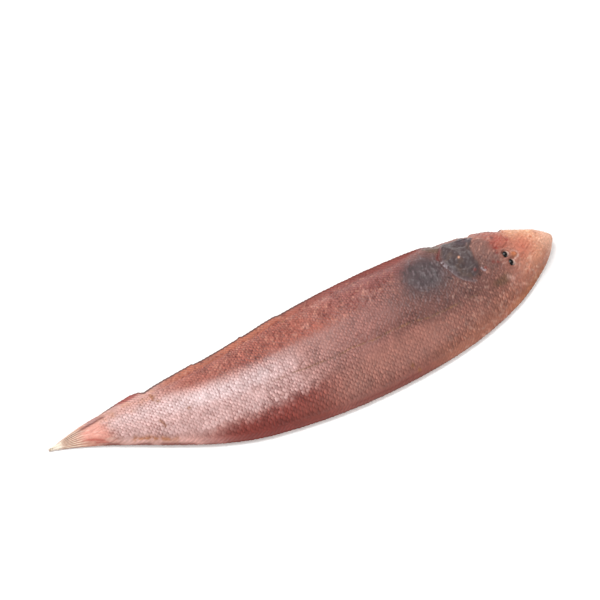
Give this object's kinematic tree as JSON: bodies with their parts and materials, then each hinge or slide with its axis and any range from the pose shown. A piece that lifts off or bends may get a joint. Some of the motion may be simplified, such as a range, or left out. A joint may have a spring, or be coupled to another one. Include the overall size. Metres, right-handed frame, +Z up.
{
  "type": "whole tongue sole fish",
  "caption": "Long flat whole fish, pointed at the tail and fringed with fins, lying on its blind side with its eyes up.",
  "frame": {"origin": "middle of the fish's box, on the surface that it lies on", "axes": "+X towards the snout, +Y towards the belly edge, +Z up out of the eyed side"},
  "size_m": [0.2268, 0.058, 0.0116],
  "materials": {
    "skin": "satin",
    "eye": "gloss"
  },
  "bodies": {
    "root": {"tongue_sole": "skin"}
  },
  "joints": []
}
